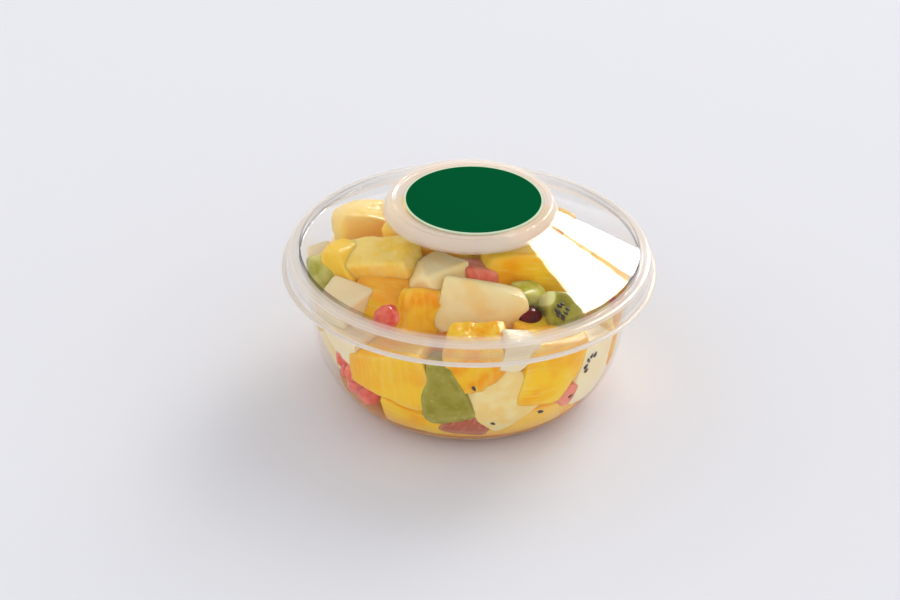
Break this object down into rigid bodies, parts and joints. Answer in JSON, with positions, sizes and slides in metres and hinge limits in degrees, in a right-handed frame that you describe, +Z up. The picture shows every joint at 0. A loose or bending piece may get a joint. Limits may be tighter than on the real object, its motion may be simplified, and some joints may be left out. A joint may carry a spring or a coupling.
{
  "type": "fruit salad in lidded bowl",
  "caption": "Cut fruit salad in a round clear plastic bowl with a rounded base, closed by a clear cone-shaped lid that has a wide rim and a round label on its flat top.",
  "frame": {"origin": "middle of the bowl's flat foot, on the surface it stands on", "axes": "+Z up along the axis that bowl and lid are turned about, -Y towards the viewer"},
  "size_m": [0.13, 0.13, 0.0744],
  "materials": {
    "clear_bowl": "clear, glossy",
    "clear_lid": "clear, glossy",
    "label_film": "printed film, satin",
    "fruit_flesh": "moist cut fruit"
  },
  "bodies": {
    "root": {"bowl": "clear_bowl", "lid": "clear_lid", "label": "label_film", "fruit": "fruit_flesh"}
  },
  "joints": []
}
